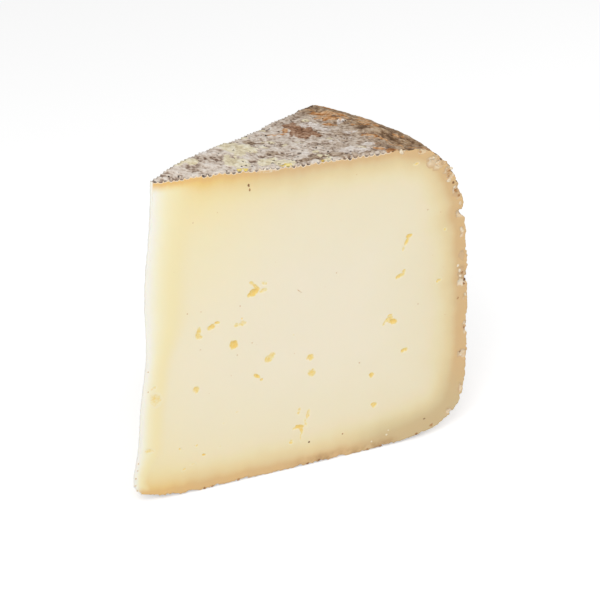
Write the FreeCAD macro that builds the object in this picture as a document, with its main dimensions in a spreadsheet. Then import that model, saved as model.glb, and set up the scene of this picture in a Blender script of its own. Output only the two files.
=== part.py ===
"""A wedge of tomme, a semi-hard mountain cheese with a natural rind.

The wedge is one solid, cut from a round wheel and standing on the wheel's flat lower face.
It is drawn in the wheel's frame: Z is the wheel's axis, the front cut lies in the XZ plane and the
paste is behind it, towards +Y. At the end the wedge is moved so that the bottom centre of its box is
the origin. Lengths are in millimetres and angles in degrees.
"""

import FreeCAD, Part
import math
import os
import Sketcher

NODE = "tomme_wedge"

# Sketcher's own numbers: the sketch's origin and horizontal axis, and the points of a line or an arc
ORIGIN = -1
START, END, CENTRE = 1, 2, 3

# alias, value, meaning
SIZES = [
    ("wheel_radius", 110.5, "radius of the whole wheel at its widest"),
    ("wheel_height", 99.9, "height of the wheel at its axis"),
    ("top_fall", 2.75, "angle by which the upper face falls towards the rim"),
    ("side_bulge_radius", 235, "radius of the gentle bulge of the side"),
    ("side_widest_height", 35, "height at which the side bulges most"),
    ("shoulder_radius", 20, "round between the side and the upper face"),
    ("foot_radius", 20.5, "round between the side and the lower face"),
    ("wedge_angle", 32.5, "angle between the two cuts"),
    ("tip_inset_top", 9, "distance from the wheel's axis to the meeting of the cuts, at the upper face"),
    ("tip_inset_low", 0.8, "the same near the bottom, where the paste has sagged outwards"),
    ("tip_low_height", 8, "height at which the sagged tip reaches furthest"),
    ("tip_bow", 1.1, "how far the tip's line bows inwards between its ends"),
    ("tip_round", 0.5, "round of the tip's thin edge"),
    ("toe_inset", 5, "distance from the axis to the end of the lower face under the tip"),
    ("toe_lift", 2.8, "height of that end above the board"),
    ("toe_reach", 20.5, "distance from the axis at which the lower face begins to lift"),
    ("chip_radius", 4.5, "radius of the chip in the front edge of the side"),
    ("chip_depth", 1.7, "how far that chip reaches into the side"),
    ("chip_height", 72, "height of that chip"),
]

# The eyes that the front cut opens. Their places are shares of the wheel's radius and height, and the
# half width, half height and depth are in millimetres.
FRONT_EYES = [
    (0.404, 0.609, 2.2, 1.9, 1.5),
    (0.266, 0.510, 1.5, 1.1, 1.1),
    (0.223, 0.488, 1.1, 1.9, 1.1),
    (0.342, 0.514, 1.8, 1.1, 0.8),
    (0.329, 0.446, 1.4, 1.4, 1.3),
    (0.446, 0.388, 1.8, 1.4, 0.9),
    (0.574, 0.367, 1.1, 1.1, 1.0),
    (0.577, 0.316, 1.1, 1.2, 1.0),
    (0.405, 0.323, 1.3, 0.9, 0.9),
    (0.212, 0.302, 1.4, 1.3, 0.9),
    (0.553, 0.166, 1.8, 2.8, 1.4),
    (0.780, 0.234, 0.9, 1.0, 0.8),
    (0.780, 0.336, 1.0, 0.9, 0.8),
    (0.881, 0.403, 1.1, 0.9, 0.8),
    (0.844, 0.500, 1.8, 1.4, 1.2),
    (0.870, 0.652, 1.4, 1.1, 0.9),
    (0.883, 0.764, 0.9, 2.1, 1.1),
]

# The eyes that the back cut opens, in the same units, measured along that cut from the tip
BACK_EYES = [
    (0.20, 0.34, 1.4, 1.3, 1.1),
    (0.28, 0.62, 1.8, 1.2, 1.2),
    (0.34, 0.22, 1.2, 1.3, 1.0),
    (0.42, 0.47, 1.3, 1.3, 1.2),
    (0.50, 0.70, 1.1, 1.6, 0.9),
    (0.55, 0.30, 1.9, 1.4, 1.3),
    (0.65, 0.54, 1.2, 1.0, 0.9),
    (0.72, 0.24, 1.3, 1.1, 1.0),
    (0.76, 0.66, 1.0, 1.7, 1.0),
]


def make_sheet(doc):
    """The spreadsheet of driving sizes, one row each."""
    sheet = doc.addObject("Spreadsheet::Sheet", "Sizes")
    for row, (alias, value, meaning) in enumerate(SIZES, start=1):
        sheet.set(f"A{row}", meaning)
        sheet.set(f"B{row}", str(value))
        sheet.setAlias(f"B{row}", alias)
    doc.recompute()
    return sheet


def new_sketch(body, name):
    """A sketch on the front cut's plane: its x is the distance from the wheel's axis, its y the height."""
    sketch = body.newObject("Sketcher::SketchObject", name)
    plane = next(f for f in body.Origin.OriginFeatures if f.Role == "XZ_Plane")
    sketch.AttachmentSupport = (plane, [""])
    sketch.MapMode = "FlatFace"
    return sketch


def line(start, end):
    """A straight segment in a sketch."""
    return Part.LineSegment(FreeCAD.Vector(*start, 0), FreeCAD.Vector(*end, 0))


def direction(centre, point):
    """The angle at which a point is seen from a centre, in radians."""
    return math.atan2(point[1] - centre[1], point[0] - centre[0])


def arc(centre, radius, start_angle, end_angle):
    """A circular arc in a sketch, anticlockwise between two angles in radians."""
    circle = Part.Circle(FreeCAD.Vector(*centre, 0), FreeCAD.Vector(0, 0, 1), radius)
    return Part.ArcOfCircle(circle, start_angle, end_angle)


def constrain(sketch, kind, *places):
    """Adds a constraint that has no value."""
    sketch.addConstraint(Sketcher.Constraint(kind, *places))


def bind(sketch, name, kind, places, value, expression):
    """Adds a constraint whose value follows the sheet."""
    index = sketch.addConstraint(Sketcher.Constraint(kind, *places, value))
    sketch.renameConstraint(index, name)
    sketch.setExpression(f"Constraints.{name}", expression)


def side_bulge(size):
    """The centre of the side's bulge, in the wheel's section."""
    return (size.wheel_radius - size.side_bulge_radius, size.side_widest_height)


def foot_round(size):
    """The centre of the round between the lower face and the side, and the angle at which it ends."""
    bulge_centre = side_bulge(size)
    rise = size.foot_radius - bulge_centre[1]
    run = math.sqrt((size.side_bulge_radius - size.foot_radius) ** 2 - rise**2)
    centre = (bulge_centre[0] + run, size.foot_radius)
    return centre, direction(bulge_centre, centre)


def shoulder_round(size):
    """The centre of the round between the side and the upper face, and the angle at which it starts.

    It touches the falling upper face, so its centre runs along that face, one radius below it.
    """
    bulge_centre, radius = side_bulge(size), size.shoulder_radius
    fall = math.radians(size.top_fall)
    first = (-radius * math.sin(fall), size.wheel_height - radius * math.cos(fall))
    gap = (first[0] - bulge_centre[0], first[1] - bulge_centre[1])
    half = gap[0] * math.cos(fall) - gap[1] * math.sin(fall)
    reach = -half + math.sqrt(half**2 - gap[0] ** 2 - gap[1] ** 2 + (size.side_bulge_radius - radius) ** 2)
    centre = (first[0] + reach * math.cos(fall), first[1] - reach * math.sin(fall))
    return centre, direction(bulge_centre, centre)


def side_reach(size, height):
    """The side's distance from the wheel's axis at a height, on its bulge or on its shoulder."""
    centre, radius = side_bulge(size), size.side_bulge_radius
    shoulder_centre, start = shoulder_round(size)
    if height > centre[1] + radius * math.sin(start):
        centre, radius = shoulder_centre, size.shoulder_radius
    return centre[0] + math.sqrt(radius**2 - (height - centre[1]) ** 2)


def draw_wheel_section(body, size):
    """The wheel's half section: lower face, foot, bulging side, shoulder, upper face and axis."""
    bulge, foot, shoulder = size.side_bulge_radius, size.foot_radius, size.shoulder_radius
    bulge_centre = side_bulge(size)
    foot_centre, foot_end = foot_round(size)
    shoulder_centre, side_end = shoulder_round(size)
    fall = math.radians(size.top_fall)
    shoulder_top = (
        shoulder_centre[0] + shoulder * math.sin(fall),
        shoulder_centre[1] + shoulder * math.cos(fall),
    )
    axis_top = (0, size.wheel_height)

    sketch = new_sketch(body, "WheelSection")
    pieces = [
        line((0, 0), (foot_centre[0], 0)),
        arc(foot_centre, foot, -math.pi / 2, foot_end),
        arc(bulge_centre, bulge, foot_end, side_end),
        arc(shoulder_centre, shoulder, side_end, math.pi / 2 - fall),
        line(shoulder_top, axis_top),
        line(axis_top, (0, 0)),
    ]
    lower_face, foot_arc, side_arc, shoulder_arc, upper_face, axis = range(len(pieces))
    sketch.addGeometry(pieces)
    constrain(sketch, "Coincident", lower_face, START, ORIGIN, START)
    constrain(sketch, "Horizontal", lower_face)
    constrain(sketch, "Vertical", axis)
    for piece in (lower_face, foot_arc, side_arc, shoulder_arc):
        constrain(sketch, "Tangent", piece, END, piece + 1, START)
    constrain(sketch, "Coincident", upper_face, END, axis, START)
    constrain(sketch, "Coincident", axis, END, lower_face, START)
    bind(sketch, "FootRadius", "Radius", (foot_arc,), foot, "Sizes.foot_radius")
    bind(sketch, "BulgeRadius", "Radius", (side_arc,), bulge, "Sizes.side_bulge_radius")
    bind(sketch, "ShoulderRadius", "Radius", (shoulder_arc,), shoulder, "Sizes.shoulder_radius")
    bind(
        sketch,
        "BulgeInset",
        "DistanceX",
        (side_arc, CENTRE, ORIGIN, START),
        -bulge_centre[0],
        "Sizes.side_bulge_radius - Sizes.wheel_radius",
    )
    bind(
        sketch,
        "WidestHeight",
        "DistanceY",
        (ORIGIN, START, side_arc, CENTRE),
        bulge_centre[1],
        "Sizes.side_widest_height",
    )
    bind(sketch, "AxisHeight", "DistanceY", (axis, END, axis, START), axis_top[1], "Sizes.wheel_height")
    bind(
        sketch,
        "TopFall",
        "Angle",
        (axis, START, upper_face, END),
        math.pi / 2 - fall,
        "(90 - Sizes.top_fall) * 1 deg",
    )
    return sketch


def add_wheel(body, size):
    """Half of the wheel, behind the front cut. Its flat side is that cut."""
    wheel = body.newObject("PartDesign::Revolution", "HalfWheel")
    wheel.Profile = draw_wheel_section(body, size)
    wheel.ReferenceAxis = (wheel.Profile[0], ["V_Axis"])
    wheel.Angle = 180


def tip_arc(size):
    """The centre and radius of the bowed line of the tip, in the front cut's plane."""
    top, low = (size.tip_inset_top, size.wheel_height), (size.tip_inset_low, size.tip_low_height)
    chord = math.dist(top, low)
    radius = (chord**2 / 4 + size.tip_bow**2) / (2 * size.tip_bow)
    outward = ((low[1] - top[1]) / chord, (top[0] - low[0]) / chord)
    centre = tuple((top[i] + low[i]) / 2 + (radius - size.tip_bow) * outward[i] for i in (0, 1))
    return centre, radius


def tip_inset(size, height):
    """The tip's distance from the wheel's axis at a height."""
    centre, radius = tip_arc(size)
    return centre[0] + math.sqrt(radius**2 - (height - centre[1]) ** 2)


def add_back_cut(body, size):
    """The second cut: it carries the tip's bowed line through the wheel at the wedge's angle."""
    centre, radius = tip_arc(size)
    top, low = (size.tip_inset_top, size.wheel_height), (size.tip_inset_low, size.tip_low_height)
    beyond, reach = size.wheel_height, 3 * size.wheel_radius
    corners = [
        (top[0], top[1] + beyond),
        (-reach, top[1] + beyond),
        (-reach, -beyond),
        (low[0], -beyond),
    ]
    outline = [top, *corners, low]

    sketch = new_sketch(body, "BackCutSection")
    pieces = [line(start, end) for start, end in zip(outline, outline[1:])]
    pieces.append(arc(centre, radius, direction(centre, low), direction(centre, top)))
    above_tip, high, far, under, below_tip, tip = range(len(pieces))
    sketch.addGeometry(pieces)
    for piece in range(len(pieces)):
        constrain(sketch, "Coincident", piece, END, (piece + 1) % len(pieces), START)
    for piece in (above_tip, far, below_tip):
        constrain(sketch, "Vertical", piece)
    for piece in (high, under):
        constrain(sketch, "Horizontal", piece)
    places = [
        ("TopInset", "DistanceX", (ORIGIN, START, tip, END), top[0], "Sizes.tip_inset_top"),
        ("TopHeight", "DistanceY", (ORIGIN, START, tip, END), top[1], "Sizes.wheel_height"),
        ("LowInset", "DistanceX", (ORIGIN, START, tip, START), low[0], "Sizes.tip_inset_low"),
        ("LowHeight", "DistanceY", (ORIGIN, START, tip, START), low[1], "Sizes.tip_low_height"),
        ("Above", "DistanceY", (above_tip, START, above_tip, END), beyond, "Sizes.wheel_height"),
        ("Below", "DistanceY", (far, END, ORIGIN, START), beyond, "Sizes.wheel_height"),
        ("Reach", "DistanceX", (far, END, ORIGIN, START), reach, "3 * Sizes.wheel_radius"),
        (
            "BowRadius",
            "Radius",
            (tip,),
            radius,
            "((Sizes.tip_inset_top - Sizes.tip_inset_low) ^ 2"
            " + (Sizes.wheel_height - Sizes.tip_low_height) ^ 2) / (8 * Sizes.tip_bow) + Sizes.tip_bow / 2",
        ),
    ]
    for place in places:
        bind(sketch, *place)

    cut = body.newObject("PartDesign::Pocket", "BackCut")
    cut.Profile = sketch
    cut.UseCustomVector = True
    cut.AlongSketchNormal = False
    cut.Direction = (math.cos(math.radians(size.wedge_angle)), math.sin(math.radians(size.wedge_angle)), 0)
    cut.setExpression("Direction.x", "cos(Sizes.wedge_angle * 1 deg)")
    cut.setExpression("Direction.y", "sin(Sizes.wedge_angle * 1 deg)")
    cut.setExpression("Length", "4 * Sizes.wheel_radius")
    return cut


def add_toe(body, size):
    """Lifts the lower face off the board under the tip, and rounds the sagged tip down to it."""
    widest, toe = (size.tip_inset_low, size.tip_low_height), (size.toe_inset, size.toe_lift)
    run, drop = toe[0] - widest[0], widest[1] - toe[1]
    radius = (run**2 + drop**2) / (2 * run)
    centre = (widest[0] + radius, widest[1])
    margin = size.tip_low_height
    outline = [
        toe,
        (size.toe_reach, 0),
        (size.toe_reach, -margin),
        (widest[0] - margin, -margin),
        (widest[0] - margin, widest[1]),
        widest,
    ]

    sketch = new_sketch(body, "ToeSection")
    pieces = [line(start, end) for start, end in zip(outline, outline[1:])]
    pieces.append(arc(centre, radius, math.pi, direction(centre, toe) + 2 * math.pi))
    lift, drop_line, under, side, level, toe_round = range(len(pieces))
    sketch.addGeometry(pieces)
    for piece in range(len(pieces)):
        constrain(sketch, "Coincident", piece, END, (piece + 1) % len(pieces), START)
    for piece in (drop_line, side):
        constrain(sketch, "Vertical", piece)
    for piece in (under, level):
        constrain(sketch, "Horizontal", piece)
    constrain(sketch, "Horizontal", toe_round, START, toe_round, CENTRE)
    places = [
        ("ToeInset", "DistanceX", (ORIGIN, START, toe_round, END), toe[0], "Sizes.toe_inset"),
        ("ToeLift", "DistanceY", (ORIGIN, START, toe_round, END), toe[1], "Sizes.toe_lift"),
        ("LowInset", "DistanceX", (ORIGIN, START, toe_round, START), widest[0], "Sizes.tip_inset_low"),
        ("LowHeight", "DistanceY", (ORIGIN, START, toe_round, START), widest[1], "Sizes.tip_low_height"),
        ("ToeReach", "DistanceX", (ORIGIN, START, lift, END), outline[1][0], "Sizes.toe_reach"),
        ("Below", "DistanceY", (drop_line, END, drop_line, START), margin, "Sizes.tip_low_height"),
        ("Beside", "DistanceX", (level, START, level, END), margin, "Sizes.tip_low_height"),
    ]
    for place in places:
        bind(sketch, *place)
    constrain(sketch, "PointOnObject", lift, END, ORIGIN)

    cut = body.newObject("PartDesign::Pocket", "ToeCut")
    cut.Profile = sketch
    cut.setExpression("Length", "Sizes.wheel_radius")
    return cut


def round_tip(body, cut, size):
    """Rounds the thin edge where the two cuts meet: of the long edges, the nearest to the wheel's axis."""
    edges = {f"Edge{number}": edge for number, edge in enumerate(cut.Shape.Edges, start=1)}
    long_edges = [name for name, edge in edges.items() if edge.Length > size.wheel_height / 2]
    tip = min(long_edges, key=lambda name: edges[name].CenterOfMass.x)
    fillet = body.newObject("PartDesign::Fillet", "TipRound")
    fillet.Base = (cut, [tip])
    fillet.setExpression("Radius", "Sizes.tip_round")
    return fillet


def add_eye(body, name, centre, turn, sizes):
    """One eye, an ellipsoid hollow of that half width along the cut, half height and depth."""
    half_width, half_height, depth = sizes
    eye = body.newObject("PartDesign::SubtractiveEllipsoid", name)
    eye.Radius1 = half_height
    eye.Radius2 = half_width
    eye.Radius3 = depth
    eye.Placement = FreeCAD.Placement(centre, FreeCAD.Rotation(FreeCAD.Vector(0, 0, 1), turn))
    return eye


def add_eyes(body, size):
    """The eyes in both cuts."""
    for number, (reach, height, *sizes) in enumerate(FRONT_EYES, start=1):
        centre = FreeCAD.Vector(reach * size.wheel_radius, 0, height * size.wheel_height)
        add_eye(body, f"FrontEye{number}", centre, 0, sizes)

    angle = math.radians(size.wedge_angle)
    for number, (reach, height, *sizes) in enumerate(BACK_EYES, start=1):
        level = height * size.wheel_height
        along = reach * size.wheel_radius
        inset = tip_inset(size, level)
        centre = FreeCAD.Vector(inset + along * math.cos(angle), along * math.sin(angle), level)
        add_eye(body, f"BackEye{number}", centre, size.wedge_angle, sizes)


def add_chip(body, size):
    """The chip in the edge between the front cut and the side."""
    chip = body.newObject("PartDesign::SubtractiveSphere", "EdgeChip")
    chip.setExpression("Radius", "Sizes.chip_radius")
    reach = side_reach(size, size.chip_height) + size.chip_radius - size.chip_depth
    chip.Placement.Base = FreeCAD.Vector(reach, 0, size.chip_height)
    return chip


def settle(body):
    """Moves the finished wedge so that the bottom centre of its box is the origin."""
    box = body.Shape.optimalBoundingBox(False)
    body.Placement.Base = FreeCAD.Vector(-box.Center.x, -box.Center.y, -box.ZMin)


def check(doc, body):
    """Stops the run when anything is in error or the wedge isn't one valid solid."""
    for item in doc.Objects:
        if item.State != ["Up-to-date"] or (hasattr(item, "Shape") and not item.Shape.isValid()):
            raise RuntimeError(f"{item.Name} is not sound: {item.State}")
    if len(body.Shape.Solids) != 1:
        raise RuntimeError("the wedge is not one solid")


def main():
    doc = FreeCAD.newDocument("tomme_wedge")
    size = make_sheet(doc)
    body = doc.addObject("PartDesign::Body", "Wedge")
    body.Label = NODE
    add_wheel(body, size)
    add_back_cut(body, size)
    cut = add_toe(body, size)
    doc.recompute()
    round_tip(body, cut, size)
    add_eyes(body, size)
    add_chip(body, size)
    doc.recompute()
    settle(body)
    doc.recompute()
    check(doc, body)
    os.makedirs("parts", exist_ok=True)
    body.Shape.exportStep(f"parts/{NODE}.step")


main()
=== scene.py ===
"""The looks of a wedge of tomme: pale paste on the two cuts, a mottled natural rind round the rest.

One closed mesh takes the place of the CAD solid, and crumbs of rind and paste stick to the front
cut. The wedge is drawn in the wheel's frame, in millimetres: x is the distance from the wheel's
axis along the front cut, y the distance behind that cut, z the height above the board. It turns
into metres when a mesh is made.
"""

import bmesh
import bpy
import math
import numpy as np
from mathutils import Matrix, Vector, noise
from mathutils.geometry import delaunay_2d_cdt
from mathutils.kdtree import KDTree


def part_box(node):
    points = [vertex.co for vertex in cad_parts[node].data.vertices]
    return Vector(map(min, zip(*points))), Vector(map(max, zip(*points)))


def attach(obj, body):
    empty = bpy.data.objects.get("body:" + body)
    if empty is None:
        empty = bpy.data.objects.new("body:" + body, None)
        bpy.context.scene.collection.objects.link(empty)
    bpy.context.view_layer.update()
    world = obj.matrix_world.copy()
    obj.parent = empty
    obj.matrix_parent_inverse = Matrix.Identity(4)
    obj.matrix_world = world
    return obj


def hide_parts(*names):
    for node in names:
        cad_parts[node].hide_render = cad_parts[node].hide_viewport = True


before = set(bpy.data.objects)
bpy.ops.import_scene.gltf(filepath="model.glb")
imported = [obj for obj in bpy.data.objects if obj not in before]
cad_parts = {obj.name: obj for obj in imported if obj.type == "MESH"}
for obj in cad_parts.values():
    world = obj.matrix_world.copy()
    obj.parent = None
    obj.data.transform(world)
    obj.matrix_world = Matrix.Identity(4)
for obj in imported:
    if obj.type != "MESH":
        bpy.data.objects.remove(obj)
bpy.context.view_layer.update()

MM = 0.001
NODE = "tomme_wedge"
WHEEL_RADIUS = 110.5
WEDGE_ANGLE = math.radians(32.5)
LOW, HIGH = (np.array(corner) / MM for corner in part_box(NODE))
# the foot of the wheel's axis, in the frame's millimetres
ORIGIN = np.array([HIGH[0] - WHEEL_RADIUS, LOW[1], LOW[2]])

# The rind's outline on the front cut and on the back cut, from the tip's top, over the shoulder and
# down the side to the tip's foot: (distance along the cut, height). The lists match knot for knot,
# and both end with the lower face.
LOWER_KNOTS = [(72, 0.1), (45, 0.1), (22, 0.1), (13, 1.0), (7.5, 2.2), (4.4, 3.1)]
FRONT_OUTLINE = [
    (10.7, 99.3), (20, 98.8), (37, 97.8), (58, 96.8), (77, 96.2), (88.5, 95.8), (94.2, 94.9),
    (98.8, 92.6), (102.8, 88.2), (105.9, 83), (107.7, 77), (109, 68), (110, 56), (110.7, 44),
    (111, 33), (110.8, 24), (110, 15.4), (108.3, 9.4), (104.6, 5.3), (98.5, 2.2), (88, 0.4),
    *LOWER_KNOTS,
]
BACK_OUTLINE = [
    (10.7, 99.3), (20, 100.2), (37, 99.5), (58, 97.6), (77, 96.8), (90, 96), (97, 94.4),
    (102.6, 91.6), (106.6, 87.6), (108.8, 82.6), (109.8, 77), (110.3, 68), (110.8, 56), (111.3, 44),
    (111.7, 33), (111.4, 24), (110.5, 15.5), (108.6, 9.4), (104.8, 5.4), (98.8, 2.3), (88, 0.5),
    *LOWER_KNOTS,
]
# Knots of those lists between which the shoulder and the foot curve
SHOULDER_KNOTS = (5, 9)
FOOT_KNOTS = (16, 20)

# The line of the tip's thin edge: (height, distance from the wheel's axis)
TIP_LINE = [
    (99.3, 10.3), (91, 9.9), (81, 9), (71, 7.8), (61, 7.3), (50, 7.4), (42, 6.8), (31, 5.1),
    (18, 3.9), (8, 2.1), (5, 2.6), (3.1, 4),
]
TIP_ROUND = 0.5

# How far apart the mesh's points lie at their closest, and the rows down the tip's round
STEP = 0.26
TIP_STEP = 0.5
# The tip's round is this many faces wide, and a curve has this many points for each span
TIP_COLUMNS = 6
CURVE_SAMPLES = 40
# Within these distances of an edge the rind's points are one step apart, and at most two
FINE_MARGIN, MIDDLE_MARGIN = 1.0, 2.4
# Past these distances from an edge or an eye, the cuts' points lie ever further apart
CUT_MARGIN, CUT_GROWTH = 0.7, 0.42
EYE_MARGIN, EYE_GROWTH = 0.4, 0.5
# Inner points stay this share of a step clear of an edge, and stray up to this share of a step
CLEAR = 0.6
STRAY = 0.3
# The materials' places in the wedge's mesh
PASTE, RIND = 0, 1

# The cloth that lined the mould left pits this far apart. The cuts open those on their edges into a
# row of scallops: (knot of the outline, how deep they are there)
CLOTH_PITCH = 1.65
SCALLOPS = [
    (0, 0.5), (0.4, 0.9), (4.5, 1.15), (4.6, 0.1), (5.5, 0.1), (8, 0.22), (11, 0.14), (16, 0.14),
    (20, 0.25), (21, 0.4), (24, 0.45), (26, 0.3),
]

# Eyes in the front cut: distance along it, height, half width, half height, turn in degrees, depth
FRONT_EYES = [
    (40.3, 60.4, 1.7, 1, 25, 1.3), (40.9, 61.8, 0.5, 1.7, 35, 0.9), (43.2, 60.4, 1.2, 0.6, 10, 0.6),
    (39.6, 63.4, 0.9, 0.5, -20, 0.7), (43.5, 62.6, 0.9, 0.5, -30, 0.5), (27, 52.1, 1.2, 0.7, 20, 1),
    (28.8, 53.1, 0.8, 0.4, -10, 1), (22.9, 50.9, 0.7, 1.7, -15, 0.8),
    (23.4, 49.7, 0.8, 0.8, 20, 0.6), (34.8, 51.2, 0.8, 0.7, 0, 0.4), (36.7, 51.3, 1, 0.8, 10, 0.6),
    (36.5, 52.8, 0.3, 0.3, 0, 0.6), (33.8, 45.1, 1.2, 1.25, 0, 1.4), (44.8, 38.2, 1.2, 1.1, 0, 0.7),
    (46, 39.1, 1, 0.9, 30, 0.6), (58.2, 35.8, 1.1, 1, 0, 0.8), (58.6, 30.7, 1.1, 1.1, 0, 0.8),
    (41, 33.4, 1.1, 0.5, -35, 1.1), (42.5, 31.9, 0.5, 0.4, -20, 0.9), (21.9, 33.3, 1, 1.1, 0, 0.7),
    (79.4, 15.4, 0.9, 0.9, 0, 0.9), (78.4, 25.6, 0.8, 0.8, 0, 1), (89.3, 31.5, 1.1, 0.7, 20, 0.9),
    (83.9, 42.9, 1.4, 0.6, 25, 0.8), (85.3, 41.9, 1.2, 0.8, -15, 1.2),
    (84.3, 44, 0.9, 0.4, 10, 0.7), (82.6, 41.9, 1, 0.4, 45, 0.6), (87.3, 56.2, 1.4, 0.6, 20, 0.9),
    (88.7, 57.4, 0.6, 0.8, -20, 0.6), (90.1, 68.5, 1, 0.6, 20, 1), (89.4, 67, 0.5, 1.5, -28, 0.9),
    (88.3, 64.8, 0.5, 0.8, -10, 0.5), (100.4, 52.2, 1, 0.55, 25, 0.7),
    (102.1, 68.5, 0.5, 0.5, 0, 0.6), (92, 90.7, 0.8, 0.35, 10, 0.7), (52.8, 44.1, 0.3, 0.3, 0, 0.3),
    (16.4, 15.2, 0.5, 0.3, -30, 0.8), (21.6, 15.1, 0.6, 0.35, 20, 0.5),
    (23.8, 11.5, 0.6, 0.35, -10, 0.9), (28.8, 12.9, 0.6, 0.3, 25, 0.4),
    (34.5, 23.1, 0.6, 0.25, 15, 0.35), (30.2, 20.4, 0.4, 0.4, 0, 0.3),
    (17.5, 8.2, 0.7, 0.3, 20, 0.6), (20.3, 9.3, 0.9, 0.25, 10, 0.4),
    (54.5, 18.9, 0.5, 1.3, -12, 0.5), (57.4, 17.2, 0.6, 1.6, -14, 0.6),
    (56.6, 14.6, 0.5, 1.5, 14, 0.4), (54.6, 13.6, 1.3, 0.6, -15, 1.3),
    (55.2, 12.4, 0.5, 1.4, 8, 0.9), (53.2, 13.4, 0.9, 0.5, 20, 0.5), (51.9, 9, 0.6, 0.8, -20, 0.7),
    (55, 9.8, 0.25, 1.3, 0, 0.5), (9.4, 32.8, 1.6, 1.9, 20, 0.45), (8.9, 36.6, 0.9, 0.5, 25, 0.35),
    (7, 16.8, 1.3, 0.7, -12, 0.45),
]

# Eyes in the back cut, in the same units
BACK_EYES = [
    (29.7, 34, 1.4, 1.3, 0, 1.1), (37.7, 62, 1.8, 1.2, 20, 1.2), (43.5, 22, 1.2, 1.3, 0, 1),
    (53.1, 47, 1.3, 1.3, 0, 1.2), (62.5, 70, 1.1, 1.6, -25, 0.9), (66.5, 30, 1.9, 1, 10, 1.3),
    (68.4, 31.6, 0.8, 1.1, 40, 1), (79.2, 54, 1.2, 1, 0, 0.9), (86.2, 24, 1.3, 0.9, 15, 1),
    (92.1, 66, 0.7, 1.7, -10, 1), (24.8, 50, 0.6, 0.5, 0, 0.5), (48, 83, 0.8, 0.4, 20, 0.4),
    (71, 14, 0.6, 0.8, 0, 0.6), (98.2, 42, 0.7, 0.9, 10, 0.6), (35.5, 12, 0.5, 0.5, 0, 0.4),
]
# An eye is shallow for its looks: the supple paste glows yellow in it
EYE_DEPTH = 0.28


# ---- curves and noise

# How fast the noise's octaves grow weaker and finer, and what makes a random value of a place
NOISE_INCREMENT, LACUNARITY = 0.7, 2.0
CELL_SPREAD = Vector((371.3, 217.9, 533.1))


def through(knots):
    """A smooth curve through the knots: Catmull-Rom, with so many points for each span."""
    points = np.array(knots, dtype=float)
    padded = np.vstack([2 * points[0] - points[1], points, 2 * points[-1] - points[-2]])
    t = np.linspace(0, 1, CURVE_SAMPLES, endpoint=False)[:, None]
    spans = []
    for a, b, c, d in zip(padded, padded[1:], padded[2:], padded[3:]):
        bend = (2 * a - 5 * b + 4 * c - d) * t**2 + (3 * b - a - 3 * c + d) * t**3
        spans.append(0.5 * (2 * b + (c - a) * t + bend))
    return np.vstack([*spans, points[-1:]])


def lengths(points):
    """The distance run along a polyline, at each of its points."""
    return np.concatenate([[0], np.cumsum(np.linalg.norm(np.diff(points, axis=0), axis=1))])


def smooth(low, high, value):
    """0 below low, 1 above high, and an even rise between them."""
    t = np.clip((value - low) / (high - low), 0, 1)
    return t * t * (3 - 2 * t)


def fractal(points, size, octaves=3, seed=0):
    """Soft noise between about -1 and 1, with features of that size in millimetres."""
    scaled = (points / size + seed).tolist()
    return np.array([noise.fractal(p, NOISE_INCREMENT, LACUNARITY, octaves) for p in scaled])


def cells(points, size, seed):
    """The cells round scattered points: how far off the nearest is, and a random value for each."""
    found = [noise.voronoi(p) for p in (points / size + seed).tolist()]
    distances = np.array([near[0] for near, _ in found])
    values = np.array([centres[0].dot(CELL_SPREAD) % 1 for _, centres in found])
    return distances, values


def oval(x, y, centre_x, centre_y, half_x, half_y, turn=0):
    """Distance from an oval's centre as a share of its half lengths: 1 on its outline."""
    cosine, sine = math.cos(math.radians(turn)), math.sin(math.radians(turn))
    dx, dy = x - centre_x, y - centre_y
    along, across = dx * cosine + dy * sine, dy * cosine - dx * sine
    return np.hypot(along / half_x, across / half_y)


# ---- the wedge's outline


TIP_CURVE = through(TIP_LINE)[::-1]
FRONT_CURVE = through(FRONT_OUTLINE)
BACK_CURVE = through(BACK_OUTLINE)
CURVE_RUN = lengths(FRONT_CURVE)
OUTLINE_LENGTH = CURVE_RUN[-1]


def knot_run(knot):
    """The distance along the outline to a knot, or to a place between two."""
    return np.interp(np.asarray(knot) * CURVE_SAMPLES, np.arange(len(CURVE_RUN)), CURVE_RUN)


SHOULDER_START, SHOULDER_END = knot_run(SHOULDER_KNOTS)
FOOT_START, FOOT_END = knot_run(FOOT_KNOTS)


def apex(height):
    """Where the cuts would meet without the tip's round, as a distance from the wheel's axis."""
    sharp = TIP_ROUND / math.sin(WEDGE_ANGLE / 2) - TIP_ROUND
    return np.interp(height, TIP_CURVE[:, 0], TIP_CURVE[:, 1]) - sharp


def section(run, share):
    """The rind's distance from the axis and its height, at a run along the outline.

    The share says where it is between the cuts: 0 at the front one, 1 at the back one.
    """
    blend = smooth(0, 1, share)
    front = [np.interp(run, CURVE_RUN, FRONT_CURVE[:, axis]) for axis in (0, 1)]
    back = [np.interp(run, CURVE_RUN, BACK_CURVE[:, axis]) for axis in (0, 1)]
    return [f + (b - f) * blend for f, b in zip(front, back)]


def rind_point(run, share):
    """The rind's smooth surface."""
    reach, height = section(run, share)
    foot = apex(height)
    angle = share * WEDGE_ANGLE
    x = foot + (reach - foot) * np.cos(angle)
    y = (reach - foot) * np.sin(angle)
    return np.stack([x, y, height], axis=-1)


def rind_normal(run, share):
    """The outward direction of the rind's smooth surface."""
    along = rind_point(run + 0.5, share) - rind_point(run - 0.5, share)
    across = rind_point(run, share + 0.005) - rind_point(run, share - 0.005)
    normal = np.cross(along, across)
    return normal / np.linalg.norm(normal, axis=-1, keepdims=True)


def reach_at(run):
    """The rind's distance from the tip's sharp line on the front cut."""
    reach, height = section(run, 0.0)
    return reach - apex(height)


# ---- the rind's relief and its moulds

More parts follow.
